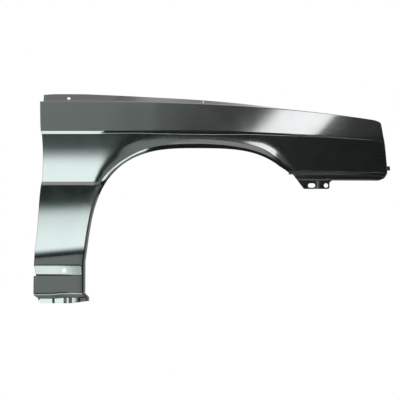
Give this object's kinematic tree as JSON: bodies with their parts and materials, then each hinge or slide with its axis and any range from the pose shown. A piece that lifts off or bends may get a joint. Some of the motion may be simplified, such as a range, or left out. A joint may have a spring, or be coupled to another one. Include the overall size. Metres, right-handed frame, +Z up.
{
  "type": "car fender",
  "caption": "Front fender panel pressed from one steel sheet, with a wheel arch, a hood flange, ribs and a bracket at the front foot and a flange at the sill.",
  "frame": {"origin": "on the slope of the hood flange, just behind its bolt hole at the rear end, where the panel hangs on the car", "axes": "+X towards the front of the car, -Y out of the car on the panel's outer face, +Z up"},
  "size_m": [1.0849, 0.1578, 0.6318],
  "materials": {
    "fender_panel": "glossy black electro-coat primer"
  },
  "bodies": {
    "root": {"fender_panel": "fender_panel"}
  },
  "joints": []
}
